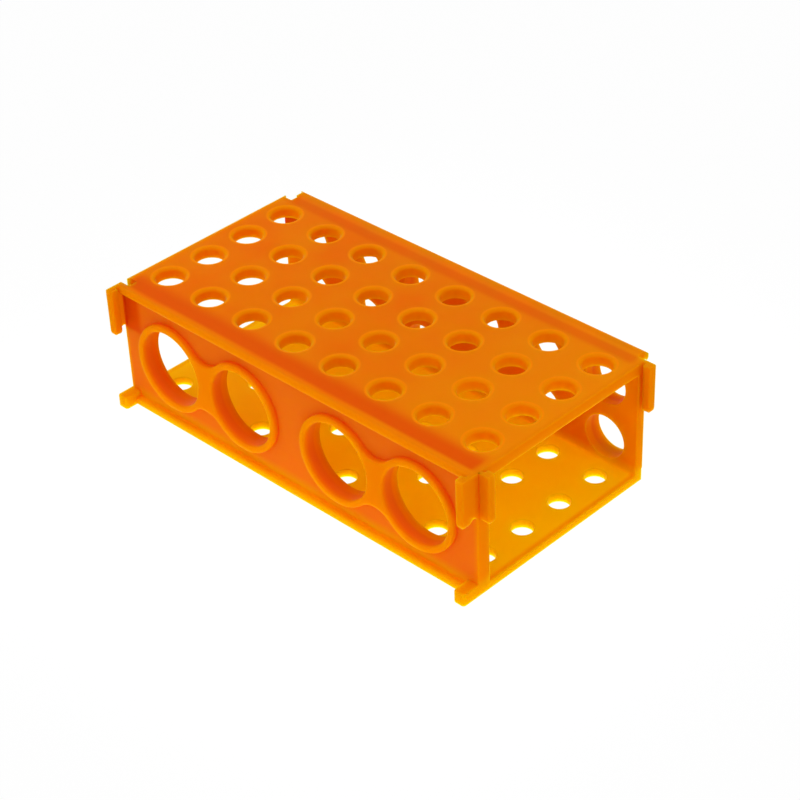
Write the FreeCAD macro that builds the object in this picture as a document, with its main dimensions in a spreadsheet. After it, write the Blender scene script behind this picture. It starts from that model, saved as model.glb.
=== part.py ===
"""Four-way microcentrifuge tube rack: one moulded body that takes four sizes of tube, one per face."""
import FreeCAD, Part
import math
import os
import Sketcher

# Driving sizes in millimetres. X runs along the rack, Y from front to back, Z up.
sizes = [
    ("plate_length", 172.0, "top and bottom plate, end to end"),
    ("plate_width", 91.0, "top and bottom plate, front edge to back edge"),
    ("rack_height", 50.0, "underside to top face"),
    ("top_thickness", 4.6, "top plate"),
    ("floor_thickness", 3.3, "bottom plate"),
    ("rail_height", 3.1, "rim of the top plate where it stands out past the walls"),
    ("foot_height", 2.6, "rim of the bottom plate where it stands out past the walls"),
    ("rail_radius", 1.2, "rounding of the top plate's outer edges"),
    ("foot_radius", 0.8, "rounding of the bottom plate's outer edges"),
    ("corner_radius", 0.9, "rounding of the corners between the plates and the walls"),
    ("front_wall", 5.6, "thickness of the front wall"),
    ("front_setback", 2.5, "front wall behind the plates' front edge"),
    ("back_wall", 3.7, "thickness of the back wall"),
    ("back_setback", 4.4, "back wall inside the plates' back edge"),
    ("tube_columns", 8, "1.5 ml wells along the rack"),
    ("tube_rows", 4, "1.5 ml wells across the rack"),
    ("column_pitch", 21.5, "1.5 and 0.5 ml wells, centre to centre along the rack"),
    ("row_pitch", 19.0, "1.5 and 0.5 ml wells, centre to centre across the rack"),
    ("tube_bore", 10.9, "diameter of a 1.5 ml well"),
    ("small_bore", 8.0, "diameter of a 0.5 ml well"),
    ("wide_bore", 29.4, "diameter of a 50 ml well"),
    ("wide_pair_pitch", 36.6, "two 50 ml wells of a pair, centre to centre"),
    ("wide_pair_offset", 41.6, "middle of a pair of 50 ml wells from the rack's middle"),
    ("wide_collar", 2.5, "width of the raised rim round a 50 ml well"),
    ("wide_web_radius", 9.0, "blend between the two rims of a pair"),
    ("wide_rise", 2.4, "50 ml rims in front of the wall"),
    ("cone_columns", 6, "15 ml wells along the rack"),
    ("cone_column_pitch", 28.7, "15 ml wells, centre to centre along the rack"),
    ("cone_row_pitch", 22.6, "15 ml wells, centre to centre up the wall"),
    ("cone_bore", 17.0, "diameter of a 15 ml well"),
    ("cone_collar", 2.0, "width of the raised rim round a 15 ml well"),
    ("cone_rise", 4.2, "15 ml rims behind the wall"),
    ("wide_bevel", 0.9, "bevel of the raised rims round the 50 ml wells"),
    ("well_height", 24.8, "middle of the front and back wells above the underside"),
    ("hook_neck", 1.7, "thickness of a hook's neck"),
    ("hook_barb", 3.3, "width and depth of a hook's barb"),
    ("hook_drop", 18.5, "height of a hook, down from the top face"),
    ("hook_reach", 4.4, "hooks beyond the plates' front edge or end"),
    ("hook_radius", 0.8, "rounding of a hook's upright edges"),
    ("slot_mouth", 2.6, "opening of a slot, where a hook's neck passes"),
    ("slot_skin", 0.5, "front wall left standing in front of a slot"),
    ("hook_clearance", 0.2, "play of a neighbour's hook or lug in its slot"),
    ("lug_width", 4.8, "lugs at the foot of the front corners, along the rack"),
    ("lug_reach", 4.8, "lugs in front of the plates' edge"),
    ("lug_height", 5.0, "lugs above the underside"),
    ("lug_radius", 1.2, "rounding of a lug's upright edges"),
    ("overrun", 1.0, "how far a cutting tool runs past what it cuts"),
]

bevel_slope = 45  # degrees, so a bevel is as deep as it is wide

doc = FreeCAD.newDocument("tube_rack")
sheet = doc.addObject("Spreadsheet::Sheet", "sizes")
for row, (alias, value, meaning) in enumerate(sizes, start=1):
    sheet.set("A%d" % row, alias)
    sheet.set("B%d" % row, str(value))
    sheet.set("C%d" % row, meaning)
    sheet.setAlias("B%d" % row, alias)
doc.recompute()

body = doc.addObject("PartDesign::Body", "rack_body")
body.Label = "rack_body"


def size(expression):
    """Value of a sheet expression now, for a sketch's first geometry."""
    return float(body.evalExpression(expression))


def origin_feature(role):
    """One of the body's own planes or axes, such as XY_Plane or X_Axis."""
    return next(item for item in body.Origin.OriginFeatures if item.Role == role)


def new_sketch(name, plane, offset="0"):
    """A sketch on one of the body's planes, moved along that plane's normal."""
    sketch = body.newObject("Sketcher::SketchObject", name)
    sketch.AttachmentSupport = [(origin_feature(plane), "")]
    sketch.MapMode = "FlatFace"
    sketch.setExpression(".AttachmentOffset.Base.z", offset)
    return sketch


def pin_point(sketch, edge, point, across, up):
    """Hold one point of a sketch at a place given by two expressions."""
    for kind, expression in (("DistanceX", across), ("DistanceY", up)):
        value = size(expression)
        number = sketch.addConstraint(Sketcher.Constraint(kind, -1, 1, edge, point, value))
        sketch.setExpression("Constraints[%d]" % number, expression)


def draw_outline(sketch, corners):
    """A closed outline of straight lines through corners given as pairs of expressions."""
    places = [FreeCAD.Vector(size(across), size(up), 0) for across, up in corners]
    first = sketch.GeometryCount
    last = first + len(corners) - 1
    for number, start in enumerate(places):
        sketch.addGeometry(Part.LineSegment(start, places[(number + 1) % len(places)]))
    for number, (across, up) in enumerate(corners):
        edge = first + number
        sketch.addConstraint(Sketcher.Constraint("Coincident", edge, 1, last if number == 0 else edge - 1, 2))
        pin_point(sketch, edge, 1, across, up)


def draw_circle(sketch, across, up, radius):
    """A circle whose centre and radius are expressions."""
    centre = FreeCAD.Vector(size(across), size(up), 0)
    edge = sketch.addGeometry(Part.Circle(centre, FreeCAD.Vector(0, 0, 1), size(radius)))
    pin_point(sketch, edge, 3, across, up)
    number = sketch.addConstraint(Sketcher.Constraint("Radius", edge, size(radius)))
    sketch.setExpression("Constraints[%d]" % number, radius)


def add_pad(name, sketch, length, reversed_way=False, both_ways=False, taper=0):
    pad = body.newObject("PartDesign::Pad", name)
    pad.Profile = sketch
    pad.setExpression("Length", length)
    pad.Reversed = reversed_way
    pad.Midplane = both_ways
    pad.TaperAngle = taper
    doc.recompute()
    return pad


def add_pocket(name, sketch, length, reversed_way=False, taper=0):
    """Cut a sketch into the body, and make sure that it took something away."""
    before = body.Shape.Volume
    pocket = body.newObject("PartDesign::Pocket", name)
    pocket.Profile = sketch
    pocket.setExpression("Length", length)
    pocket.Reversed = reversed_way
    pocket.TaperAngle = taper
    doc.recompute()
    if body.Shape.Volume >= before:
        raise RuntimeError(name + " cut nothing")
    return pocket


def add_grid(name, originals, axes, pitches, counts):
    """Repeat features over a grid, given two axes, two pitches and two counts."""
    grid = body.newObject("PartDesign::LinearPattern", name)
    grid.Originals = originals
    grid.Direction = (origin_feature(axes[0]), [""])
    grid.Direction2 = (origin_feature(axes[1]), [""])
    grid.Mode = "Spacing"
    grid.Mode2 = "Spacing"
    grid.Spacings2 = [-1.0]  # no gap of its own between the first two rows: they take the common one
    for prop, expression in zip(("Offset", "Offset2", "Occurrences", "Occurrences2"), pitches + counts):
        grid.setExpression(prop, expression)
    body.Tip = grid
    doc.recompute()
    return grid


def add_mirror(name, originals, plane):
    mirror = body.newObject("PartDesign::Mirrored", name)
    mirror.Originals = originals
    mirror.MirrorPlane = (origin_feature(plane), [""])
    body.Tip = mirror
    doc.recompute()
    return mirror


def round_edges(name, radius, wanted):
    """Round every edge of the body that the test picks."""
    base = body.Tip
    names = ["Edge%d" % number for number, edge in enumerate(base.Shape.Edges, start=1) if wanted(edge)]
    if not names:
        raise RuntimeError(name + " found no edge")
    rounding = body.newObject("PartDesign::Fillet", name)
    rounding.Base = (base, names)
    rounding.setExpression("Radius", radius)
    doc.recompute()
    return rounding


def along_x(edge, across, up):
    """Whether an edge runs along X at the given place of the frame's section."""
    first, last = edge.Vertexes[0].Point, edge.Vertexes[-1].Point
    if abs(last.x - first.x) < 1:
        return False
    return all(abs(p.y - across) < 1e-3 and abs(p.z - up) < 1e-3 for p in (first, last))


def build_frame():
    """The open-ended box: two plates that stand out past a front and a back wall."""
    front, back = "-sizes.plate_width / 2", "sizes.plate_width / 2"
    front_face = front + " + sizes.front_setback"
    back_face = back + " - sizes.back_setback"
    foot_top, rail_bottom, top = "sizes.foot_height", "sizes.rack_height - sizes.rail_height", "sizes.rack_height"
    outside = [
        (front, "0"), (back, "0"), (back, foot_top), (back_face, foot_top), (back_face, rail_bottom),
        (back, rail_bottom), (back, top), (front, top), (front, rail_bottom), (front_face, rail_bottom),
        (front_face, foot_top), (front, foot_top),
    ]
    front_inside = front_face + " + sizes.front_wall"
    back_inside = back_face + " - sizes.back_wall"
    floor, ceiling = "sizes.floor_thickness", "sizes.rack_height - sizes.top_thickness"
    inside = [(front_inside, floor), (back_inside, floor), (back_inside, ceiling), (front_inside, ceiling)]
    section = new_sketch("frame_section", "YZ_Plane")
    draw_outline(section, outside)
    draw_outline(section, inside)
    add_pad("frame", section, "sizes.plate_length", both_ways=True)
    half, height = size("sizes.plate_width") / 2, size(top)
    rail_edges = [(y, z) for y in (-half, half) for z in (height, size(rail_bottom))]
    round_edges("rail_rounding", "sizes.rail_radius", lambda e: any(along_x(e, y, z) for y, z in rail_edges))
    foot_edges = [(y, z) for y in (-half, half) for z in (0.0, size(foot_top))]
    round_edges("foot_rounding", "sizes.foot_radius", lambda e: any(along_x(e, y, z) for y, z in foot_edges))
    inner = [(size(y), size(z)) for y, z in inside]
    outer = [(size(y), size(z)) for y in (front_face, back_face) for z in (foot_top, rail_bottom)]
    round_edges("corner_rounding", "sizes.corner_radius", lambda e: any(along_x(e, y, z) for y, z in inner + outer))


def build_wells_in_plates():
    """The grid of 1.5 ml wells in the top plate and of 0.5 ml wells under it in the bottom plate."""
    across = "-(sizes.tube_columns - 1) * sizes.column_pitch / 2"
    along = "-(sizes.tube_rows - 1) * sizes.row_pitch / 2"
    pitches = ("sizes.column_pitch", "sizes.row_pitch")
    counts = ("sizes.tube_columns", "sizes.tube_rows")
    top = new_sketch("tube_well_sketch", "XY_Plane", "sizes.rack_height")
    draw_circle(top, across, along, "sizes.tube_bore / 2")
    tube_well = add_pocket("tube_well", top, "sizes.top_thickness + sizes.overrun")
    add_grid("tube_wells", [tube_well], ("X_Axis", "Y_Axis"), pitches, counts)
    floor = new_sketch("small_well_sketch", "XY_Plane")
    draw_circle(floor, across, along, "sizes.small_bore / 2")
    small_well = add_pocket("small_well", floor, "sizes.floor_thickness + sizes.overrun", reversed_way=True)
    add_grid("small_wells", [small_well], ("X_Axis", "Y_Axis"), pitches, counts)


def draw_linked_rims(sketch, middle, height, pitch, radius, blend):
    """Outline of two round rims joined by a web, with a tangent blend above and below."""
    half, rim, arc = size(pitch) / 2, size(radius), size(blend)
    rise = math.sqrt((rim + arc) ** 2 - half ** 2)
    lean = math.atan2(rise, half)
    x, z, axis = size(middle), size(height), FreeCAD.Vector(0, 0, 1)
    spans = [
        (x - half, z, rim, lean, 2 * math.pi - lean),
        (x, z - rise, arc, lean, math.pi - lean),
        (x + half, z, rim, lean - math.pi, math.pi - lean),
        (x, z + rise, arc, math.pi + lean, 2 * math.pi - lean),
    ]
    for across, up, span_radius, start, end in spans:
        circle = Part.Circle(FreeCAD.Vector(across, up, 0), axis, span_radius)
        sketch.addGeometry(Part.ArcOfCircle(circle, start, end))
    joins = [((0, 2), (1, 2)), ((1, 1), (2, 1)), ((2, 2), (3, 2)), ((3, 1), (0, 1))]
    for (one, one_end), (other, other_end) in joins:
        sketch.addConstraint(Sketcher.Constraint("Tangent", one, one_end, other, other_end))
    pin_point(sketch, 0, 3, middle + " - " + pitch + " / 2", height)
    pin_point(sketch, 2, 3, middle + " + " + pitch + " / 2", height)
    for edge, expression in enumerate((radius, blend, radius, blend)):
        number = sketch.addConstraint(Sketcher.Constraint("Radius", edge, size(expression)))
        sketch.setExpression("Constraints[%d]" % number, expression)


def add_linked_rims(name, place, length, taper):
    """One pair's outline, raised from a plane in front of the rack's middle."""
    plan = new_sketch(name + "_sketch", "XZ_Plane", place)
    draw_linked_rims(plan, "sizes.wide_pair_offset", "sizes.well_height", "sizes.wide_pair_pitch",
                     "(sizes.wide_bore / 2 + sizes.wide_collar)", "sizes.wide_web_radius")
    return add_pad(name, plan, length, taper=taper)


def add_wide_circles(name, place, radius, depth, taper):
    """The two round cuts of one pair, sunk from a plane in front of the rack's middle."""
    plan = new_sketch(name + "_sketch", "XZ_Plane", place)
    for side in (" - ", " + "):
        across = "sizes.wide_pair_offset" + side + "sizes.wide_pair_pitch / 2"
        draw_circle(plan, across, "sizes.well_height", radius)
    return add_pocket(name, plan, depth, taper=taper)


def build_front_wells():
    """Two pairs of 50 ml wells in the front wall, each pair with one raised rim, bevelled inside and out."""
    edge = "sizes.plate_width / 2"
    face = edge + " - sizes.front_setback"
    shoulder = face + " + sizes.wide_rise - sizes.wide_bevel"
    straight = add_linked_rims("wide_rims", face, "sizes.wide_rise - sizes.wide_bevel", 0)
    crest = add_linked_rims("wide_rim_crests", shoulder, "sizes.wide_bevel", -bevel_slope)
    depth = "sizes.front_setback + sizes.front_wall + sizes.overrun"
    bores = add_wide_circles("wide_wells", edge, "sizes.wide_bore / 2", depth, 0)
    crest_plane = face + " + sizes.wide_rise"
    mouth_radius = "sizes.wide_bore / 2 + sizes.wide_bevel"
    mouths = add_wide_circles("wide_mouths", crest_plane, mouth_radius, "sizes.wide_bevel", -bevel_slope)
    add_mirror("wide_pairs", [straight, crest, bores, mouths], "YZ_Plane")


def build_back_wells():
    """Two rows of 15 ml wells in the back wall, each with its own raised rim."""
    edge = "-sizes.plate_width / 2"
    face = edge + " + sizes.back_setback"
    across = "(sizes.cone_columns - 1) * sizes.cone_column_pitch / 2"
    up = "sizes.well_height - sizes.cone_row_pitch / 2"
    rim = new_sketch("cone_rim_sketch", "XZ_Plane", face)
    draw_circle(rim, "-" + across, up, "sizes.cone_bore / 2 + sizes.cone_collar")
    cone_rim = add_pad("cone_rim", rim, "sizes.cone_rise", reversed_way=True)
    bore = new_sketch("cone_bore_sketch", "XZ_Plane", edge)
    draw_circle(bore, "-" + across, up, "sizes.cone_bore / 2")
    depth = "sizes.back_setback + sizes.back_wall + sizes.overrun"
    cone_well = add_pocket("cone_well", bore, depth, reversed_way=True)
    pitches = ("sizes.cone_column_pitch", "sizes.cone_row_pitch")
    add_grid("cone_wells", [cone_rim, cone_well], ("X_Axis", "Z_Axis"), pitches, ("sizes.cone_columns", "2"))


def hook_plan(root, tip, way, side, inward, neck, barb, play="0"):
    """Plan of a hook, or of its slot: a neck from root to tip, and a barb turned inward at the tip.

    Corners are (along the reach, across it); way and inward are the signs of those two directions.
    """
    out, back = (" + ", " - ") if way > 0 else (" - ", " + ")
    into, away = (" + ", " - ") if inward > 0 else (" - ", " + ")
    far = tip + out + play
    near = tip + back + barb + back + play
    outer = side + away + play
    return [(root, outer), (far, outer), (far, side + into + barb + into + play),
            (near, side + into + barb + into + play), (near, side + into + neck), (root, side + into + neck)]


def swapped(corners):
    """The same corners with their two directions exchanged."""
    return [(across, along) for along, across in corners]


def build_hooks():
    """L-shaped hooks: one at each end of the front wall, and two at the right-hand end."""
    neck, barb = "sizes.hook_neck", "sizes.hook_barb"
    front_tip = front_edge + " - sizes.hook_reach"
    side_tip = right_end + " + sizes.hook_reach"
    plan = new_sketch("front_hook_sketch", "XY_Plane", "sizes.rack_height")
    draw_outline(plan, swapped(hook_plan(front_face, front_tip, -1, right_end, -1, neck, barb)))
    front_hook = add_pad("front_hook", plan, "sizes.hook_drop", reversed_way=True)
    arch = new_sketch("hook_arch_sketch", "YZ_Plane", right_end)
    gap = "(sizes.front_setback + sizes.hook_reach - sizes.hook_barb)"
    draw_circle(arch, front_face + " - " + gap + " / 2", "sizes.rack_height - sizes.hook_drop", gap + " / 2")
    hook_arch = add_pocket("hook_arch", arch, "sizes.hook_barb")
    add_mirror("front_hooks", [front_hook, hook_arch], "YZ_Plane")
    sides = new_sketch("side_hook_sketch", "XY_Plane", "sizes.rack_height")
    draw_outline(sides, hook_plan(right_end, side_tip, 1, front_hook_face, 1, neck, barb))
    draw_outline(sides, hook_plan(right_end, side_tip, 1, back_face, -1, neck, barb))
    add_pad("side_hooks", sides, "sizes.hook_drop", reversed_way=True)
    end_x, tip_y, tip_x = size(right_end), size(front_tip), size(side_tip)
    wide, front_y, back_y = size(barb), size(front_hook_face), size(back_face)
    tips = [(sign * x, tip_y) for sign in (-1, 1) for x in (end_x, end_x - wide)]
    tips += [(tip_x, y) for y in (front_y, front_y + wide, back_y, back_y - wide)]
    round_edges("hook_tips", "sizes.hook_radius", upright_edges(tips))


def upright_edges(places):
    """A test for straight edges that stand on one of the given (x, y) places."""
    def stands(edge):
        box = edge.BoundBox
        if box.XLength > 1e-3 or box.YLength > 1e-3:
            return False
        return any(abs(box.XMin - x) < 1e-3 and abs(box.YMin - y) < 1e-3 for x, y in places)
    return stands


def build_slots():
    """Slots that take a neighbour's hooks: through the top plate and down the walls' left-hand ends."""
    mouth, barb, play = "sizes.slot_mouth", "sizes.hook_barb", "sizes.hook_clearance"
    outside_end = left_end + " - sizes.overrun"
    outside_back = back_edge + " + sizes.overrun"
    side_tip = left_end + " + sizes.hook_reach"
    front_tip = back_edge + " - sizes.hook_reach"
    plans = {
        "front_left_slot": hook_plan(outside_end, side_tip, 1, front_hook_face, 1, mouth, barb, play),
        "back_left_side_slot": hook_plan(outside_end, side_tip, 1, back_face, -1, mouth, barb, play),
        "back_left_slot": swapped(hook_plan(outside_back, front_tip, -1, left_end, 1, mouth, barb, play)),
        "back_right_slot": swapped(hook_plan(outside_back, front_tip, -1, right_end, -1, mouth, barb, play)),
    }
    for name, corners in plans.items():
        plan = new_sketch(name + "_sketch", "XY_Plane", "sizes.rack_height")
        draw_outline(plan, corners)
        add_pocket(name, plan, "sizes.hook_drop + sizes.hook_clearance")


def build_lugs():
    """Lugs at the foot of the front corners, and the cuts at the back that take a neighbour's lugs."""
    inner = right_end + " - sizes.lug_width"
    tip = front_edge + " - sizes.lug_reach"
    plan = new_sketch("lug_sketch", "XY_Plane")
    draw_outline(plan, [(inner, tip), (right_end, tip), (right_end, front_face), (inner, front_face)])
    lug = add_pad("lug", plan, "sizes.lug_height")
    add_mirror("lugs", [lug], "YZ_Plane")
    corners = [(sign * x, size(tip)) for sign in (-1, 1) for x in (size(inner), size(right_end))]
    round_edges("lug_rounding", "sizes.lug_radius", upright_edges(corners))
    cut_inner = inner + " - sizes.hook_clearance"
    cut_front = back_edge + " - sizes.lug_reach - sizes.hook_clearance"
    outside_end = right_end + " + sizes.overrun"
    outside_back = back_edge + " + sizes.overrun"
    corner = new_sketch("lug_cut_sketch", "XY_Plane")
    draw_outline(corner, [(cut_inner, cut_front), (outside_end, cut_front), (outside_end, outside_back),
                          (cut_inner, outside_back)])
    cut = add_pocket("lug_cut", corner, "sizes.lug_height + sizes.hook_clearance", reversed_way=True)
    add_mirror("lug_cuts", [cut], "YZ_Plane")


right_end, left_end = "sizes.plate_length / 2", "-sizes.plate_length / 2"
front_edge, back_edge = "-sizes.plate_width / 2", "sizes.plate_width / 2"
front_face = front_edge + " + sizes.front_setback"
back_face = back_edge + " - sizes.back_setback"
front_hook_face = front_face + " + sizes.slot_skin + sizes.hook_clearance"

build_frame()
build_wells_in_plates()
build_hooks()
build_front_wells()
build_back_wells()
build_slots()
build_lugs()

for item in doc.Objects:
    if "Invalid" in item.State or "Error" in item.State:
        raise RuntimeError(item.Name + " failed")
if body.Shape.isNull() or not body.Shape.isValid() or len(body.Shape.Solids) != 1:
    raise RuntimeError(body.Label + " is not one valid solid")

os.makedirs("parts", exist_ok=True)
body.Shape.exportStep("parts/%s.step" % body.Label)
box = body.Shape.BoundBox
print("%s: %.1f x %.1f x %.1f mm, %.0f mm3" % (body.Label, box.XLength, box.YLength, box.ZLength, body.Shape.Volume))
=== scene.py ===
import math
import bpy
import bmesh
from mathutils import Matrix, Vector
from mathutils.geometry import tessellate_polygon


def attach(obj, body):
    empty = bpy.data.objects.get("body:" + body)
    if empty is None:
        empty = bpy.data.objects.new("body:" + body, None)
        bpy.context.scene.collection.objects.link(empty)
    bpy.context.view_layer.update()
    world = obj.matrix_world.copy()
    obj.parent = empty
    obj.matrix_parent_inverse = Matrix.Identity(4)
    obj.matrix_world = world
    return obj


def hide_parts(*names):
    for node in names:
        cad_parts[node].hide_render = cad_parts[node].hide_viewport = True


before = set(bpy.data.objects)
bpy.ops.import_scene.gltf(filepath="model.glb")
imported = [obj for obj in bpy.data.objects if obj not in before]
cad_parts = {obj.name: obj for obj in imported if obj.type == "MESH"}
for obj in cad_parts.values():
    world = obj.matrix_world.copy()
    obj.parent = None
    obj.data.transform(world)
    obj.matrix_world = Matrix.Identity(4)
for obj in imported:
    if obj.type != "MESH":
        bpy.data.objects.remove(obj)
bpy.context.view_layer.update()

# the rack is drawn in millimetres and brought to metres once it is whole; camera, bench and lamps are in metres,
# and so are the materials, which turn the rack's places into metres themselves


def arcPoints(centre, radius, start, end, steps):
    return [(centre[0] + radius * math.cos(start + (end - start) * k / steps),
             centre[1] + radius * math.sin(start + (end - start) * k / steps)) for k in range(steps + 1)]


def roundedOutline(corners, stepsPerCorner=6):
    # corners are (u, v, radius); a radius of 0 leaves a sharp corner
    points = []
    count = len(corners)
    for k, (u, v, radius) in enumerate(corners):
        here = Vector((u, v))
        toLast = (Vector(corners[k - 1][:2]) - here).normalized()
        toNext = (Vector(corners[(k + 1) % count][:2]) - here).normalized()
        if radius == 0:
            points.append((u, v))
            continue
        halfAngle = toLast.angle(toNext) / 2
        centre = here + (toLast + toNext).normalized() * radius / math.sin(halfAngle)
        reach = radius / math.tan(halfAngle)
        startArm, endArm = here + toLast * reach - centre, here + toNext * reach - centre
        start = math.atan2(startArm.y, startArm.x)
        turn = (math.atan2(endArm.y, endArm.x) - start + math.pi) % (2 * math.pi) - math.pi
        points += arcPoints(centre, radius, start, start + turn, stepsPerCorner)
    return points


leastCosine = 0.3  # keeps a sharp corner from being thrown far out when its loop is moved


def insetLoop(points, amount):
    # moves a loop to its left, which is into the material: outlines run anticlockwise, holes clockwise
    moved = []
    for k, point in enumerate(points):
        here = Vector(point)
        before = (here - Vector(points[k - 1])).normalized()
        after = (Vector(points[(k + 1) % len(points)]) - here).normalized()
        leftBefore, leftAfter = Vector((-before.y, before.x)), Vector((-after.y, after.x))
        middle = (leftBefore + leftAfter).normalized()
        moved.append(tuple(here + middle * amount / max(middle.dot(leftAfter), leastCosine)))
    return moved


def roundedLevels(near, far, nearRound, farRound, steps=4, sign=1, stretch=1):
    # (depth, inset) from one end of a solid to the other; sign -1 flares the ends, stretch deepens the near rounding
    levels = []
    for k in range(steps + 1):
        turn = math.pi / 2 * k / steps
        levels.append((near + stretch * nearRound * (1 - math.cos(turn)), sign * nearRound * (1 - math.sin(turn))))
    for k in range(steps, -1, -1):
        turn = math.pi / 2 * k / steps
        levels.append((far - farRound * (1 - math.cos(turn)), sign * farRound * (1 - math.sin(turn))))
    return [level for k, level in enumerate(levels) if k == 0 or level != levels[k - 1]]


def prism(work, loops, levels, place):
    # place turns (u, v, depth) into a point of the rack
    rings = []
    for depth, inset in levels:
        moved = [insetLoop(loop, inset) if inset else loop for loop in loops]
        rings.append([[work.verts.new(place(u, v, depth)) for u, v in loop] for loop in moved])
    for lower, upper in zip(rings, rings[1:]):
        for low, high in zip(lower, upper):
            for k in range(len(low)):
                work.faces.new((low[k - 1], low[k], high[k], high[k - 1]))
    for ring, (depth, inset) in ((rings[0], levels[0]), (rings[-1], levels[-1])):
        flat = [[Vector((u, v, 0)) for u, v in insetLoop(loop, inset)] for loop in loops]
        verts = [vert for loop in ring for vert in loop]
        for a, b, c in tessellate_polygon(flat):
            work.faces.new((verts[a], verts[b], verts[c]))


def lathe(work, profile, segments, place):
    # profile is (depth, radius) from end to end, closed with a disc at each end
    rings = []
    for depth, radius in profile:
        angles = [2 * math.pi * k / segments for k in range(segments)]
        rings.append([work.verts.new(place(radius * math.cos(a), radius * math.sin(a), depth)) for a in angles])
    for low, high in zip(rings, rings[1:]):
        for k in range(segments):
            work.faces.new((low[k - 1], low[k], high[k], high[k - 1]))
    work.faces.new(rings[0])
    work.faces.new(rings[-1])


def addObject(name, data):
    added = bpy.data.objects.new(name, data)
    bpy.context.collection.objects.link(added)
    return added


def finishedSolid(name, work):
    bmesh.ops.recalc_face_normals(work, faces=work.faces)
    mesh = bpy.data.meshes.new(name)
    work.to_mesh(mesh)
    work.free()
    return addObject(name, mesh)


alongX = lambda u, v, depth: (depth, u, v)
alongY = lambda u, v, depth: (u, depth, v)
alongZ = lambda u, v, depth: (u, v, depth)


def emptyTree(owner):
    owner.use_nodes = True
    owner.node_tree.nodes.clear()
    return owner.node_tree


def addNode(tree, kind, settings=None, links=None):
    # settings go to properties or to input sockets, links are {input: output socket}
    node = tree.nodes.new(kind)
    for key, value in (settings or {}).items():
        if isinstance(key, str) and hasattr(node, key):
            setattr(node, key, value)
        else:
            node.inputs[key].default_value = value
    for key, source in (links or {}).items():
        tree.links.new(source, node.inputs[key])
    return node


def plainMesh(piece):
    # swaps a piece's modifiers for their result
    evaluated = piece.evaluated_get(bpy.context.evaluated_depsgraph_get())
    mesh = bpy.data.meshes.new_from_object(evaluated)
    piece.modifiers.clear()
    piece.data = mesh


def volumeOf(piece):
    work = bmesh.new()
    work.from_mesh(piece.data)
    volume = work.calc_volume()
    work.free()
    return volume


leastChange = 0.5  # mm3


def mustDiffer(before, after, name):
    # a cut or join that Blender can't do leaves the piece as it was, without an error
    if abs(after - before) < leastChange:
        raise RuntimeError(name + " changed nothing")


def carve(piece, other, operation):
    before = volumeOf(piece)
    change = piece.modifiers.new(operation.lower(), "BOOLEAN")
    change.operation = operation
    change.solver = "MANIFOLD"
    change.object = other
    plainMesh(piece)
    mustDiffer(before, volumeOf(piece), other.name)
    bpy.data.objects.remove(other)


# camera: a long lens, looking down at the corner between the front wall and the end at +X
camera = {"place": (0.45765, -0.44454, 0.4639), "forward": (-0.58035, 0.57639, -0.57530),
          "up": (-0.37911, 0.43401, 0.81726), "lens": 99.08, "sensor": 36, "nearest": 0.01}
cameraData = bpy.data.cameras.new("camera")
cameraData.lens, cameraData.sensor_width = camera["lens"], camera["sensor"]
cameraData.clip_start = camera["nearest"]
cameraObject = addObject("camera", cameraData)
forward = Vector(camera["forward"]).normalized()
right = forward.cross(Vector(camera["up"])).normalized()
turned = Matrix((right, right.cross(forward), -forward)).transposed().to_4x4()
cameraObject.matrix_world = Matrix.Translation(camera["place"]) @ turned
bpy.context.scene.camera = cameraObject

# shell of the rack: two plates and two walls, one section along its length
box = {"length": 172, "width": 91, "height": 50, "topThickness": 4.6, "floorThickness": 3.3,
       "railHeight": 3.1, "footHeight": 2.6, "railRadius": 1.2, "footRadius": 0.8, "cornerRadius": 0.9,
       "frontWall": 5.6, "frontSetback": 2.5, "backWall": 3.7, "backSetback": 4.4, "endRadius": 0.5}
halfLength, halfWidth = box["length"] / 2, box["width"] / 2
frontFace, backFace = box["frontSetback"] - halfWidth, halfWidth - box["backSetback"]
railBottom, ceiling = box["height"] - box["railHeight"], box["height"] - box["topThickness"]
rail, foot, corner = box["railRadius"], box["footRadius"], box["cornerRadius"]
outside = roundedOutline([
    (-halfWidth, 0, foot), (halfWidth, 0, foot), (halfWidth, box["footHeight"], foot),
    (backFace, box["footHeight"], corner), (backFace, railBottom, corner), (halfWidth, railBottom, rail),
    (halfWidth, box["height"], rail), (-halfWidth, box["height"], rail), (-halfWidth, railBottom, rail),
    (frontFace, railBottom, corner), (frontFace, box["footHeight"], corner), (-halfWidth, box["footHeight"], foot)])
frontInside, backInside = frontFace + box["frontWall"], backFace - box["backWall"]
inside = roundedOutline([(frontInside, box["floorThickness"], corner), (backInside, box["floorThickness"], corner),
                         (backInside, ceiling, corner), (frontInside, ceiling, corner)])[::-1]
work = bmesh.new()
prism(work, [outside, inside], roundedLevels(-halfLength, halfLength, box["endRadius"], box["endRadius"]), alongX)
rackBody = finishedSolid("rackBody", work)
print("shell drawn:", len(rackBody.data.polygons), "faces")

# rims round the 50 ml wells, joined in pairs
wideWell = {"radius": 14.7, "collar": 2.5, "pairPitch": 36.6, "pairOffset": 41.6, "webRadius": 9, "rise": 2.4,
            "edge": 0.9, "innerEdge": 0.4, "height": 24.8, "segments": 96, "rimSteps": 64, "webSteps": 20}


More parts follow.
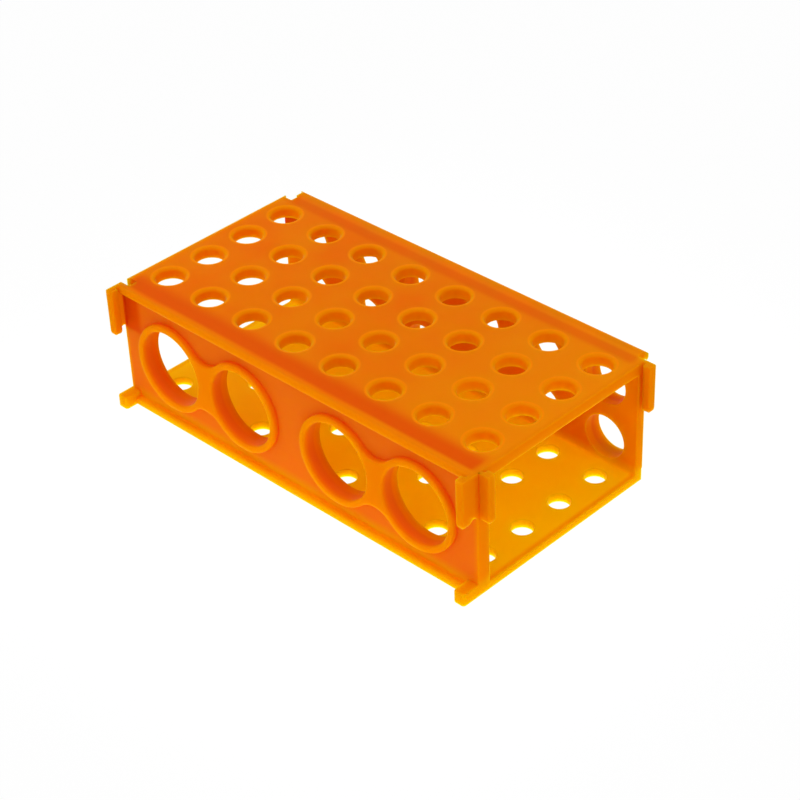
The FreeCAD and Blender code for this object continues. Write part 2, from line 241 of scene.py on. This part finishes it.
def linkedRims(middle):
    half, rim, web = wideWell["pairPitch"] / 2, wideWell["radius"] + wideWell["collar"], wideWell["webRadius"]
    rise = math.sqrt((rim + web) ** 2 - half ** 2)
    lean = math.atan2(rise, half)
    z, rimSteps, webSteps = wideWell["height"], wideWell["rimSteps"], wideWell["webSteps"]
    points = arcPoints((middle + half, z), rim, lean - math.pi, math.pi - lean, rimSteps)[:-1]
    points += arcPoints((middle, z + rise), web, -lean, lean - math.pi, webSteps)[:-1]
    points += arcPoints((middle - half, z), rim, lean, 2 * math.pi - lean, rimSteps)[:-1]
    points += arcPoints((middle, z - rise), web, math.pi - lean, lean, webSteps)[:-1]
    return points


# hooks at two sides, slots for a neighbour's hooks, lugs at the foot
hook = {"neck": 1.7, "barb": 3.3, "drop": 18.5, "reach": 4.4, "radius": 0.8, "edge": 0.4, "root": 1.5,
        "bottomEdge": 0.7, "bottomStretch": 2.2, "slotMouth": 2.6, "play": 0.2, "slotSkin": 0.5, "slotCorner": 0.4,
        "slotEdge": 0.15, "archSegments": 40, "archInset": 0.5}
# slotEdge stays under half of slotCorner, or the flared outline folds over itself
lug = {"width": 4.8, "reach": 4.8, "height": 5, "radius": 1.2, "edge": 0.5, "cutCorner": 0.4}
overrun = 1  # how far a joined piece reaches into the rack, and a cut past its surface


def hookPlan(root, tip, way, side, inward, neck, play, radius):
    # the same plan as the solid's: neck from root to tip, barb turned inward at the tip
    barb = hook["barb"]
    far, near = tip + way * play, tip - way * (barb + play)
    outer, inner = side - inward * play, side + inward * (barb + play)
    return [(root, outer, 0), (far, outer, radius), (far, inner, radius), (near, inner, radius / 2),
            (near, side + inward * neck, radius / 2), (root, side + inward * neck, 0)]


def swapped(corners):
    return [(v, u, radius) for u, v, radius in corners]


def upright(work, corners, levels):
    # stands a plan up along Z; its corners may run either way round
    area = sum(a[0] * b[1] - b[0] * a[1] for a, b in zip(corners, corners[1:] + corners[:1]))
    prism(work, [roundedOutline(corners if area > 0 else corners[::-1])], levels, alongZ)


top = box["height"]
hookLevels = roundedLevels(top - hook["drop"], top, hook["bottomEdge"], hook["edge"], stretch=hook["bottomStretch"])
lugLevels = roundedLevels(0, lug["height"], lug["edge"], lug["edge"])
work = bmesh.new()
for side in (-1, 1):
    prism(work, [linkedRims(side * wideWell["pairOffset"])],
          roundedLevels(frontFace - wideWell["rise"], frontFace + overrun, wideWell["edge"], 0), alongY)
    plan = hookPlan(frontFace + hook["root"], -halfWidth - hook["reach"], -1, side * halfLength, -side,
                    hook["neck"], 0, hook["radius"])
    upright(work, swapped(plan), hookLevels)
    outer, inner = side * halfLength, side * (halfLength - lug["width"])
    tip = -halfWidth - lug["reach"]
    plan = [(inner, frontFace + overrun, 0), (inner, tip, lug["radius"]), (outer, tip, lug["radius"]),
            (outer, frontFace + overrun, 0)]
    upright(work, plan, lugLevels)
frontHookFace = frontFace + hook["slotSkin"] + hook["play"]
endHooks = ((frontHookFace, 1), (backFace, -1))  # outer face, and the way inwards from it
for face, inward in endHooks:
    plan = hookPlan(halfLength - hook["root"], halfLength + hook["reach"], 1, face, inward, hook["neck"], 0,
                    hook["radius"])
    upright(work, plan, hookLevels)
carve(rackBody, finishedSolid("rimsHooksLugs", work), "UNION")
print("rims, hooks and lugs joined:", len(rackBody.data.polygons), "faces")

# arches in the lower ends of the front hooks, and cuts at the back for a neighbour's lugs
work = bmesh.new()
archRadius = (box["frontSetback"] + hook["reach"] - hook["barb"]) / 2
for side in (-1, 1):
    near, far = side * (halfLength - hook["barb"] - hook["archInset"]), side * (halfLength + overrun)
    lathe(work, [(near, archRadius), (far, archRadius)], hook["archSegments"],
          lambda u, v, depth: (depth, frontFace - archRadius + u, top - hook["drop"] + v))
    inner, outer = side * (halfLength - lug["width"] - hook["play"]), side * (halfLength + overrun)
    near, far = halfWidth - lug["reach"] - hook["play"], halfWidth + overrun
    plan = [(inner, near, lug["cutCorner"]), (outer, near, 0), (outer, far, 0), (inner, far, 0)]
    upright(work, plan, [(-overrun, 0), (lug["height"] + hook["play"], 0)])
carve(rackBody, finishedSolid("archesAndLugCuts", work), "DIFFERENCE")
mouth, play = hook["slotMouth"], hook["play"]
slotPlans = [hookPlan(-halfLength - overrun, hook["reach"] - halfLength, 1, face, inward, mouth, play,
                      hook["slotCorner"]) for face, inward in endHooks]
for side in (-1, 1):
    slotPlans.append(swapped(hookPlan(halfWidth + overrun, halfWidth - hook["reach"], -1, side * halfLength, -side,
                                      mouth, play, hook["slotCorner"])))
slotLevels = roundedLevels(top - hook["drop"] - play, top, 0, hook["slotEdge"], sign=-1)
slotLevels.append((top + overrun, -hook["slotEdge"]))
for plan in slotPlans:
    work = bmesh.new()  # one at a time, because two of them meet at the back corner
    upright(work, plan, slotLevels)
    carve(rackBody, finishedSolid("slot", work), "DIFFERENCE")
print("slots cut:", len(rackBody.data.polygons), "faces")


# grids of wells and rims, made by one kind of node tree
def gridTree(name, operation):
    tree = bpy.data.node_groups.new(name, "GeometryNodeTree")
    for label, kind in (("Body", "NodeSocketGeometry"), ("Tool", "NodeSocketObject"), ("Columns", "NodeSocketInt"),
                        ("Column Step", "NodeSocketVector"), ("Rows", "NodeSocketInt"),
                        ("Row Step", "NodeSocketVector"), ("First", "NodeSocketVector"),
                        ("Material", "NodeSocketMaterial")):
        tree.interface.new_socket(label, in_out="INPUT", socket_type=kind)
    tree.interface.new_socket("Body", in_out="OUTPUT", socket_type="NodeSocketGeometry")
    given = addNode(tree, "NodeGroupInput").outputs
    columns = addNode(tree, "GeometryNodeMeshLine", {"mode": "OFFSET"},
                      {"Count": given["Columns"], "Start Location": given["First"], "Offset": given["Column Step"]})
    rows = addNode(tree, "GeometryNodeMeshLine", {"mode": "OFFSET"},
                   {"Count": given["Rows"], "Offset": given["Row Step"]})
    grid = addNode(tree, "GeometryNodeInstanceOnPoints", None,
                   {"Points": columns.outputs["Mesh"], "Instance": rows.outputs["Mesh"]})
    spots = addNode(tree, "GeometryNodeRealizeInstances", None, {"Geometry": grid.outputs["Instances"]})
    tool = addNode(tree, "GeometryNodeObjectInfo", None, {"Object": given["Tool"]})
    tools = addNode(tree, "GeometryNodeInstanceOnPoints", None,
                    {"Points": spots.outputs["Geometry"], "Instance": tool.outputs["Geometry"]})
    plain = addNode(tree, "GeometryNodeRealizeInstances", None, {"Geometry": tools.outputs["Instances"]})
    change = addNode(tree, "GeometryNodeMeshBoolean", {"operation": operation, "solver": "MANIFOLD"})
    tree.links.new(given["Body"], change.inputs["Mesh 1" if operation == "DIFFERENCE" else "Mesh 2"])
    tree.links.new(plain.outputs["Geometry"], change.inputs["Mesh 2"])
    whole = addNode(tree, "GeometryNodeRealizeInstances", None, {"Geometry": change.outputs["Mesh"]})
    dressed = addNode(tree, "GeometryNodeSetMaterial", None,
                      {"Geometry": whole.outputs["Geometry"], "Material": given["Material"]})
    addNode(tree, "NodeGroupOutput", None, {"Body": dressed.outputs["Geometry"]})
    return tree


cutGrid, joinGrid = gridTree("cutGrid", "DIFFERENCE"), gridTree("joinGrid", "UNION")


def applyGrid(tree, tool, values):
    before = volumeOf(rackBody)
    change = rackBody.modifiers.new(tree.name, "NODES")
    change.node_group = tree
    given = {**values, "Tool": tool}
    for item in tree.interface.items_tree:
        if item.in_out == "INPUT" and item.name in given:
            change[item.identifier] = given[item.name]
    plainMesh(rackBody)
    mustDiffer(before, volumeOf(rackBody), tool.name)
    bpy.data.objects.remove(tool)


cutter = {"mouthSteps": 5, "overrun": 1.5}


def wellTool(name, radius, near, far, nearRound, farRound, segments, place):
    # a through cut whose two mouths are rounded, long enough to stand out past both faces
    work = bmesh.new()
    profile = [(near - cutter["overrun"], radius + nearRound)]
    profile += [(depth, radius - inset) for depth, inset in
                roundedLevels(near, far, nearRound, farRound, steps=cutter["mouthSteps"], sign=-1)]
    profile.append((far + cutter["overrun"], radius + farRound))
    lathe(work, profile, segments, place)
    return finishedSolid(name, work)


# rims and wells, cut with the plastic already on them; its nodes are built once every size is known
plastic = bpy.data.materials.new("mouldedPolypropylene")
coneWell = {"radius": 8.5, "collar": 2, "rise": 4.2, "columns": 6, "rows": 2, "columnPitch": 28.7, "rowPitch": 22.6,
            "edge": 0.8, "innerEdge": 0.3, "segments": 64}
work = bmesh.new()
collarRadius = coneWell["radius"] + coneWell["collar"]
profile = [(depth, collarRadius - inset) for depth, inset in
           roundedLevels(backFace - overrun, backFace + coneWell["rise"], 0, coneWell["edge"])]
lathe(work, profile, coneWell["segments"], alongY)
coneGrid = {"Columns": coneWell["columns"], "Column Step": (coneWell["columnPitch"], 0, 0),
            "Rows": coneWell["rows"], "Row Step": (0, 0, coneWell["rowPitch"]),
            "First": (-(coneWell["columns"] - 1) * coneWell["columnPitch"] / 2, 0,
                      wideWell["height"] - (coneWell["rows"] - 1) * coneWell["rowPitch"] / 2), "Material": plastic}
applyGrid(joinGrid, finishedSolid("collar", work), coneGrid)
applyGrid(cutGrid, wellTool("coneTool", coneWell["radius"], backInside, backFace + coneWell["rise"],
                            coneWell["innerEdge"], coneWell["edge"], coneWell["segments"], alongY), coneGrid)
print("back wells cut:", len(rackBody.data.polygons), "faces")

pair = wideWell["pairPitch"]  # two pairs of two wells
applyGrid(cutGrid, wellTool("wideTool", wideWell["radius"], frontFace - wideWell["rise"], frontInside,
                            wideWell["edge"], wideWell["innerEdge"], wideWell["segments"], alongY),
          {"Columns": 2, "Column Step": (2 * wideWell["pairOffset"], 0, 0), "Rows": 2, "Row Step": (pair, 0, 0),
           "First": (-wideWell["pairOffset"] - pair / 2, 0, wideWell["height"]), "Material": plastic})
print("front wells cut:", len(rackBody.data.polygons), "faces")

tubeWell = {"radius": 5.45, "smallRadius": 4, "columns": 8, "rows": 4, "columnPitch": 21.5, "rowPitch": 19,
            "mouth": 1.3, "underside": 0.3, "smallMouth": 0.4, "smallUnderside": 0.15, "segments": 56,
            "smallSegments": 40}
tubeGrid = {"Columns": tubeWell["columns"], "Column Step": (tubeWell["columnPitch"], 0, 0),
            "Rows": tubeWell["rows"], "Row Step": (0, tubeWell["rowPitch"], 0),
            "First": (-(tubeWell["columns"] - 1) * tubeWell["columnPitch"] / 2,
                      -(tubeWell["rows"] - 1) * tubeWell["rowPitch"] / 2, 0), "Material": plastic}
applyGrid(cutGrid, wellTool("tubeTool", tubeWell["radius"], ceiling, top, tubeWell["underside"],
                            tubeWell["mouth"], tubeWell["segments"], alongZ), tubeGrid)
applyGrid(cutGrid, wellTool("smallTool", tubeWell["smallRadius"], 0, box["floorThickness"],
                            tubeWell["smallUnderside"], tubeWell["smallMouth"], tubeWell["smallSegments"], alongZ),
          tubeGrid)
print("wells in the plates cut:", len(rackBody.data.polygons), "faces")

# colour and finish
def linearColour(code):
    channels = [int(code[k:k + 2], 16) / 255 for k in (0, 2, 4)]
    return [c / 12.92 if c <= 0.04045 else ((c + 0.055) / 1.055) ** 2.4 for c in channels] + [1]


# moulded polypropylene: an almost matt skin over a body that light soaks into, so thin edges glow lighter
# and thick stock looks deeper; its depths and grainHeight are in metres, flowMarks and skinGrain in millimetres
polypropylene = {"plain": "F27000", "cloudy": "F27E00", "shadeOverWalls": "E85A00", "standOutGlow": "EE7E00", "light": "F48E00",
                 "wellLight": "FF8A00", "floor": "FFC800", "foot": "E89C00", "boreLight": "F0B400", "wallSheen": "EC7010",
                 "slotShadowAndSkin": "E65000", "roughness": 0.38, "ior": 1.49, "specular": 0.015,
                 "soak": 1.0, "soakDepth": 0.009, "skinDepth": 0.0002, "bleed": (1.0, 0.8, 0.04),
                 "flowMarks": 26, "flowDetail": 3.0, "flowRange": (0.35, 0.65),
                 "skinGrain": 0.9, "grainDetail": 2.0, "grainHeight": 0.00002, "grainStrength": 0.25}
# each tint follows an edge of the rack: how far from it the tint starts and where it is full, in millimetres,
# and how strong it gets
borders = {"endwards": (0, halfLength, 0.8), "frontStockOut": (-0.6, 1.4, 1), "frontStockIn": (6, -1.4, 1),
           "backStockIn": (-3, 0, 1), "backStockOut": (0.5, -1.6, 0.6), "stockEnd": (-0.5, -4, 1),
           "stockTop": (-3.5, -1, 1), "wallFace": (2.4, 3.7, 1), "wallTop": (-2.5, -5, 1),
           "frontRail": (0, -1.6, 1), "backRail": (0, 2.4, 1), "plateEnd": (-2.5, 0, 1),
           "frontRootOut": (-1, -0.6, 1), "frontRootIn": (0, -1, 1), "backRootIn": (-1.5, -0.5, 1),
           "backRootOut": (0.6, 0.2, 1), "rootEnd": (11, 7, 1), "rootBottom": (-1, 1, 1), "rootTop": (0, -0.8, 1),
           "lipEdge": (0.7, 0, 1), "lipDepth": (-2, 0, 1), "insideWalls": (0.2, -0.6, 1),
           "floorTop": (5, -0.9, 1), "footFace": (0, 2.6, 1), "footEnd": (-3, -0.4, 0.6),
           "boreEdge": (0.6, 0.2, 1), "boreTop": (0.5, -0.1, 1)}
plasticTree = emptyTree(plastic)
spot = addNode(plasticTree, "ShaderNodeTexCoord").outputs["Object"]
axes = addNode(plasticTree, "ShaderNodeSeparateXYZ", None, {0: spot}).outputs


def combine(operation, first, second):
    return addNode(plasticTree, "ShaderNodeMath", {"operation": operation}, {0: first, 1: second}).outputs[0]


def distance(value):
    return addNode(plasticTree, "ShaderNodeMath", {"operation": "ABSOLUTE"}, {0: value}).outputs[0]


def fade(value, edge, border):
    # rises softly over a border laid along an edge, which is a place in millimetres
    start, full, strength = borders[border]
    return addNode(plasticTree, "ShaderNodeMapRange",
                   {"interpolation_type": "SMOOTHSTEP", "From Min": (edge + start) / 1000,
                    "From Max": (edge + full) / 1000, "To Max": strength}, {"Value": value}).outputs["Result"]


def tinted(amount, tint, under):
    return addNode(plasticTree, "ShaderNodeMix", {"data_type": "RGBA", 7: linearColour(polypropylene[tint])},
                   {0: amount, 6: under}).outputs[2]


# cloudy flow of the melt, about 26 mm across
flow = addNode(plasticTree, "ShaderNodeTexNoise",
               {"Scale": 1000 / polypropylene["flowMarks"], "Detail": polypropylene["flowDetail"]}, {"Vector": spot})
least, most = polypropylene["flowRange"]
melt = addNode(plasticTree, "ShaderNodeMapRange", {"From Min": least, "From Max": most},
               {"Value": flow.outputs["Fac"]})
colour = addNode(plasticTree, "ShaderNodeMix", {"data_type": "RGBA", 6: linearColour(polypropylene["plain"]),
                                                7: linearColour(polypropylene["cloudy"])},
                 {0: melt.outputs["Result"]}).outputs[2]
# painted light: the rack is painted lighter towards the end at +X, where more light falls on it
colour = tinted(fade(axes["X"], 0, "endwards"), "light", colour)
# painted shade: over the walls the top plate is painted deeper, where the walls keep light from coming up through it
along, across = distance(axes["X"]), distance(axes["Y"])
overFront = combine("MULTIPLY", fade(axes["Y"], frontFace, "frontStockOut"),
                    fade(axes["Y"], frontInside, "frontStockIn"))
overBack = combine("MULTIPLY", fade(axes["Y"], backInside, "backStockIn"), fade(axes["Y"], backFace, "backStockOut"))
overWalls = combine("MULTIPLY", combine("MAXIMUM", overFront, overBack), fade(along, halfLength, "stockEnd"))
colour = tinted(combine("MULTIPLY", overWalls, fade(axes["Z"], top, "stockTop")), "shadeOverWalls", colour)
# painted reflection: the walls' outer faces are painted a little paler and redder, for the pink sheen of reflected
# light on them
outerFaces = combine("MULTIPLY", fade(across, backInside, "wallFace"), fade(axes["Z"], top, "wallTop"))
colour = tinted(outerFaces, "wallSheen", colour)
# painted light: rails, rims, hooks and the plates' ends stand free of the walls, and are painted lighter for the
# light that comes through them
standOut = combine("MAXIMUM", fade(axes["Y"], frontFace, "frontRail"), fade(axes["Y"], backFace, "backRail"))
standOut = combine("MAXIMUM", standOut, fade(along, halfLength, "plateEnd"))
colour = tinted(standOut, "standOutGlow", colour)
# painted shadow: at -X, where the walls are hollowed for a neighbour's hooks, they are painted deeper in colour for
# the shadow that falls beside the hooks;
# and light soaks less deeply there, because the skins left there are so thin that most of it would leak away
frontRoot = combine("MULTIPLY", fade(axes["Y"], frontFace, "frontRootOut"),
                    fade(axes["Y"], frontInside, "frontRootIn"))
backRoot = combine("MULTIPLY", fade(axes["Y"], backInside, "backRootIn"), fade(axes["Y"], backFace, "backRootOut"))
slotShadowAndSkin = combine("MULTIPLY", fade(axes["X"], -halfLength, "rootEnd"), combine("MAXIMUM", frontRoot, backRoot))
slotShadowAndSkin = combine("MULTIPLY", slotShadowAndSkin, fade(axes["Z"], top - hook["drop"], "rootBottom"))
slotShadowAndSkin = combine("MULTIPLY", slotShadowAndSkin, fade(axes["Z"], railBottom, "rootTop"))
colour = tinted(slotShadowAndSkin, "slotShadowAndSkin", colour)
soak = addNode(plasticTree, "ShaderNodeMapRange",
               {"To Min": polypropylene["soakDepth"], "To Max": polypropylene["skinDepth"]}, {"Value": slotShadowAndSkin})
# painted light: the lips and walls of the wells in the top plate are painted lighter too, measured from the middle
# of the nearest well
halfCell = (tubeWell["columnPitch"] / 2000, tubeWell["rowPitch"] / 2000, 0)  # in metres
toGrid = Vector(tubeGrid["First"]) / -1000
inGrid = addNode(plasticTree, "ShaderNodeVectorMath", {"operation": "ADD", 1: toGrid}, {0: spot}).outputs[0]
inCell = addNode(plasticTree, "ShaderNodeVectorMath",
                 {"operation": "WRAP", 1: halfCell, 2: [-side for side in halfCell]}, {0: inGrid}).outputs[0]
fromWell = addNode(plasticTree, "ShaderNodeVectorMath", {"operation": "LENGTH"}, {0: inCell}).outputs["Value"]
betweenWalls = fade(across, backInside, "insideWalls")
wellLightMask = combine("MULTIPLY", fade(fromWell, tubeWell["radius"] + tubeWell["mouth"], "lipEdge"),
               fade(axes["Z"], ceiling, "lipDepth"))
colour = tinted(combine("MULTIPLY", wellLightMask, betweenWalls), "wellLight", colour)
# the floor plate is thin and lies on a lit bench; its tint stands in for part of the light that comes through
low = fade(axes["Z"], box["floorThickness"], "floorTop")
lowOuter = combine("MULTIPLY", low, combine("MAXIMUM", fade(across, backInside, "footFace"),
                                            fade(along, halfLength, "footEnd")))
colour = tinted(combine("SUBTRACT", low, lowOuter), "floor", colour)
# painted light: the foot's outer faces are painted yellower for the light that comes up from the bench
colour = tinted(lowOuter, "foot", colour)
# painted light: the bores of the small holes in the floor get their own tint, so that with the light from the bench
# they render like the floor
boreLightMask = combine("MULTIPLY", fade(fromWell, tubeWell["smallRadius"], "boreEdge"),
                fade(axes["Z"], box["floorThickness"], "boreTop"))
colour = tinted(combine("MULTIPLY", boreLightMask, betweenWalls), "boreLight", colour)
# skin grain of the mould, drawn coarser than the real one so that it shows
grain = addNode(plasticTree, "ShaderNodeTexNoise",
                {"Scale": 1000 / polypropylene["skinGrain"], "Detail": polypropylene["grainDetail"]},
                {"Vector": spot})
bump = addNode(plasticTree, "ShaderNodeBump",
               {"Strength": polypropylene["grainStrength"], "Distance": polypropylene["grainHeight"]},
               {"Height": grain.outputs["Fac"]})
skin = addNode(plasticTree, "ShaderNodeBsdfPrincipled",
               {"Roughness": polypropylene["roughness"], "IOR": polypropylene["ior"],
                "Specular IOR Level": polypropylene["specular"], "Subsurface Weight": polypropylene["soak"],
                "Subsurface Radius": polypropylene["bleed"]},
               {"Base Color": colour, "Normal": bump.outputs["Normal"], "Subsurface Scale": soak.outputs["Result"]})
addNode(plasticTree, "ShaderNodeOutputMaterial", None, {"Surface": skin.outputs["BSDF"]})
print("plastic mixed:", len(plasticTree.nodes), "nodes")

# soft edges stay soft, flat faces stay flat
shading = {"sharpAngle": 40, "flatWeight": 80}
rackBody.data.transform(Matrix.Scale(0.001, 4))
for face in rackBody.data.polygons:
    face.use_smooth = True
rackBody.data.set_sharp_from_angle(angle=math.radians(shading["sharpAngle"]))
soften = rackBody.modifiers.new("soften", "WEIGHTED_NORMAL")
soften.mode, soften.weight, soften.keep_sharp = "FACE_AREA", shading["flatWeight"], True
plainMesh(rackBody)
rackBody.data.materials.clear()
rackBody.data.materials.append(plastic)
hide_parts("rack_body")
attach(rackBody, "root")
rackBody.data.calc_loop_triangles()
solid = bmesh.new()
solid.from_mesh(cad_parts["rack_body"].data)
print("volume: %.0f mm3, and %.0f in the solid" % (volumeOf(rackBody) * 1e9, solid.calc_volume() * 1e9))
solid.free()
print("rack finished:", len(rackBody.data.loop_triangles), "triangles")

# bench, light and background
studio = {"benchSize": 6, "benchGap": 0.0003, "sheet": "F4F4F4", "lit": 0.6, "shown": 0.93, "sky": 0.58,
          "aim": (0, 0, 0.02),
          "keyPower": 4.0, "keySize": 0.7, "keyPlace": (-0.2, -0.3, 1.2),
          "fillPower": 1.0, "fillSize": 1.0, "fillPlace": (1.15, -0.1, 0.45),
          "underPower": 0.29, "underSize": 0.25, "underPlace": (0, 0, -0.06)}
half, benchTop = studio["benchSize"] / 2, -studio["benchGap"]  # just clear of the underside
benchMesh = bpy.data.meshes.new("bench")
benchMesh.from_pydata([(-half, -half, benchTop), (half, -half, benchTop), (half, half, benchTop),
                       (-half, half, benchTop)], [], [(0, 1, 2, 3)])
bench = addObject("bench", benchMesh)
# opal acrylic sheet: matt white, and part of the light from below comes up through it
opal = bpy.data.materials.new("opalAcrylic")
opalTree = emptyTree(opal)
matt = addNode(opalTree, "ShaderNodeBsdfDiffuse", {"Color": linearColour(studio["sheet"])})
through = addNode(opalTree, "ShaderNodeBsdfTranslucent", {"Color": linearColour(studio["sheet"])})
sheet = addNode(opalTree, "ShaderNodeMixShader", {0: studio["lit"]}, {1: matt.outputs[0], 2: through.outputs[0]})
white = addNode(opalTree, "ShaderNodeEmission", {"Color": (1, 1, 1, 1), "Strength": 1.0})


def seenRay(tree):
    # rays that show the background: straight from the camera, in a gloss or through glass
    ray = addNode(tree, "ShaderNodeLightPath").outputs
    either = addNode(tree, "ShaderNodeMath", {"operation": "MAXIMUM"},
                     {0: ray["Is Camera Ray"], 1: ray["Is Glossy Ray"]}).outputs[0]
    return addNode(tree, "ShaderNodeMath", {"operation": "MAXIMUM"},
                   {0: either, 1: ray["Is Transmission Ray"]}).outputs[0]


shown = addNode(opalTree, "ShaderNodeMath", {"operation": "MULTIPLY", 1: studio["shown"]}, {0: seenRay(opalTree)})
addNode(opalTree, "ShaderNodeOutputMaterial", None,
        {"Surface": addNode(opalTree, "ShaderNodeMixShader", None,
                            {0: shown.outputs[0], 1: sheet.outputs[0], 2: white.outputs[0]}).outputs[0]})
benchMesh.materials.append(opal)

world = bpy.data.worlds.new("studio")
bpy.context.scene.world = world
skyTree = emptyTree(world)
soft = addNode(skyTree, "ShaderNodeBackground", {"Color": (1, 1, 1, 1), "Strength": studio["sky"]})
backdrop = addNode(skyTree, "ShaderNodeBackground", {"Color": (1, 1, 1, 1), "Strength": 1.0})
addNode(skyTree, "ShaderNodeOutputWorld", None,
        {"Surface": addNode(skyTree, "ShaderNodeMixShader", None,
                            {0: seenRay(skyTree), 1: soft.outputs[0], 2: backdrop.outputs[0]}).outputs[0]})


def addLamp(name, power, size, place):
    lamp = bpy.data.lights.new(name, "AREA")
    lamp.energy, lamp.size = power, size
    lampObject = addObject(name, lamp)
    lampObject.location = place
    lampObject.rotation_euler = (Vector(studio["aim"]) - Vector(place)).to_track_quat("-Z", "Y").to_euler()


for name in ("key", "fill", "under"):
    addLamp(name, studio[name + "Power"], studio[name + "Size"], studio[name + "Place"])
bpy.context.scene.view_settings.view_transform = "Standard"
print("studio set")
